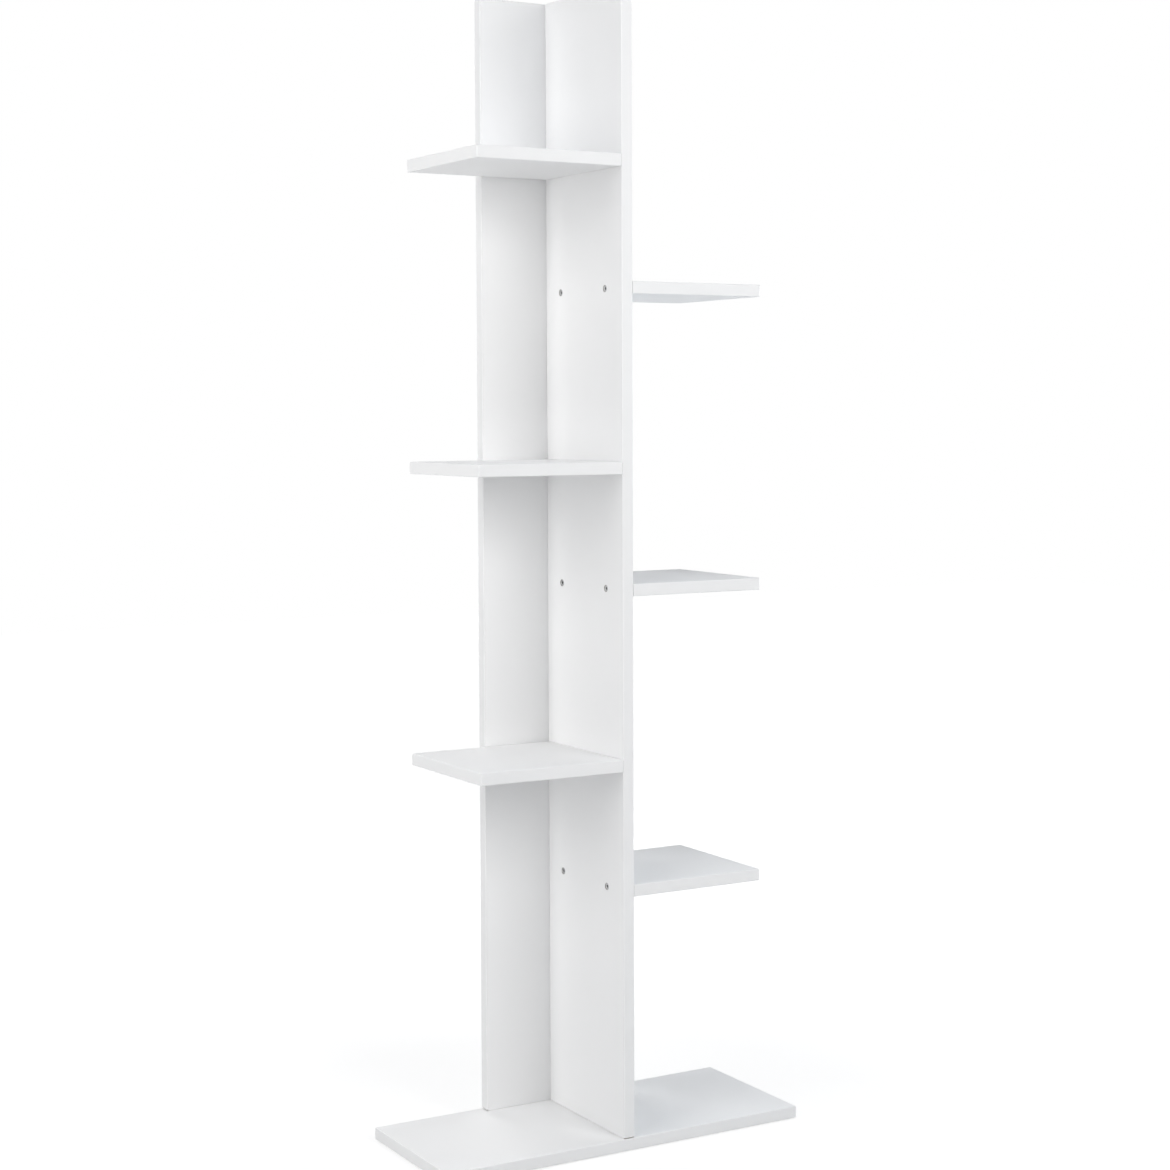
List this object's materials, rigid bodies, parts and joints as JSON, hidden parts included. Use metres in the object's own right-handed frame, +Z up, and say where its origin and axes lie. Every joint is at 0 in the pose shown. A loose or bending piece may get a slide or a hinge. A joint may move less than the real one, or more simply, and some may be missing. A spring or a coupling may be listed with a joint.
{
  "type": "tree shaped bookshelf",
  "caption": "Tall narrow bookshelf like a tree: a T shaped trunk on a flat base board, with shelves that branch out to both sides at staggered heights.",
  "frame": {"origin": "on the floor, under the middle of the base board", "axes": "+Z up; +X along the base to the right, seen from the front; -Y towards the front, +Y to the wall"},
  "size_m": [0.6, 0.24, 1.7],
  "materials": {
    "melamine_board": "white satin melamine on chipboard, with a very fine pearl texture",
    "edge_band": "white satin edge banding with rounded arrises",
    "screw_steel": "zinc-plated steel, cloudy dull grey, dark inside the socket",
    "glide_plastic": "pale grey moulded plastic"
  },
  "bodies": {
    "root": {"base_board": "melamine_board", "trunk_divider": "melamine_board", "trunk_back_board": "melamine_board", "left_shelf_lower": "melamine_board", "left_shelf_middle": "melamine_board", "left_shelf_upper": "melamine_board", "right_shelf_lower": "melamine_board", "right_shelf_middle": "melamine_board", "right_shelf_upper": "melamine_board", "base_board_edge_band": "edge_band", "trunk_divider_edge_band": "edge_band", "trunk_back_board_edge_band": "edge_band", "left_shelf_lower_edge_band": "edge_band", "left_shelf_middle_edge_band": "edge_band", "left_shelf_upper_edge_band": "edge_band", "right_shelf_lower_edge_band": "edge_band", "right_shelf_middle_edge_band": "edge_band", "right_shelf_upper_edge_band": "edge_band", "left_shelf_lower_front_screw": "screw_steel", "left_shelf_lower_rear_screw": "screw_steel", "left_shelf_lower_back_screw": "screw_steel", "left_shelf_middle_front_screw": "screw_steel", "left_shelf_middle_rear_screw": "screw_steel", "left_shelf_middle_back_screw": "screw_steel", "left_shelf_upper_front_screw": "screw_steel", "left_shelf_upper_rear_screw": "screw_steel", "left_shelf_upper_back_screw": "screw_steel", "right_shelf_lower_front_screw": "screw_steel", "right_shelf_lower_rear_screw": "screw_steel", "right_shelf_lower_back_screw": "screw_steel", "right_shelf_middle_front_screw": "screw_steel", "right_shelf_middle_rear_screw": "screw_steel", "right_shelf_middle_back_screw": "screw_steel", "right_shelf_upper_front_screw": "screw_steel", "right_shelf_upper_rear_screw": "screw_steel", "right_shelf_upper_back_screw": "screw_steel", "spine_screw_1": "screw_steel", "spine_screw_2": "screw_steel", "spine_screw_3": "screw_steel", "spine_screw_4": "screw_steel", "spine_screw_5": "screw_steel", "foot_screw_divider_front": "screw_steel", "foot_screw_divider_rear": "screw_steel", "foot_screw_back_board_left": "screw_steel", "foot_screw_back_board_right": "screw_steel", "glide_front_left": "glide_plastic", "glide_front_right": "glide_plastic", "glide_back_left": "glide_plastic", "glide_back_right": "glide_plastic"}
  },
  "joints": []
}
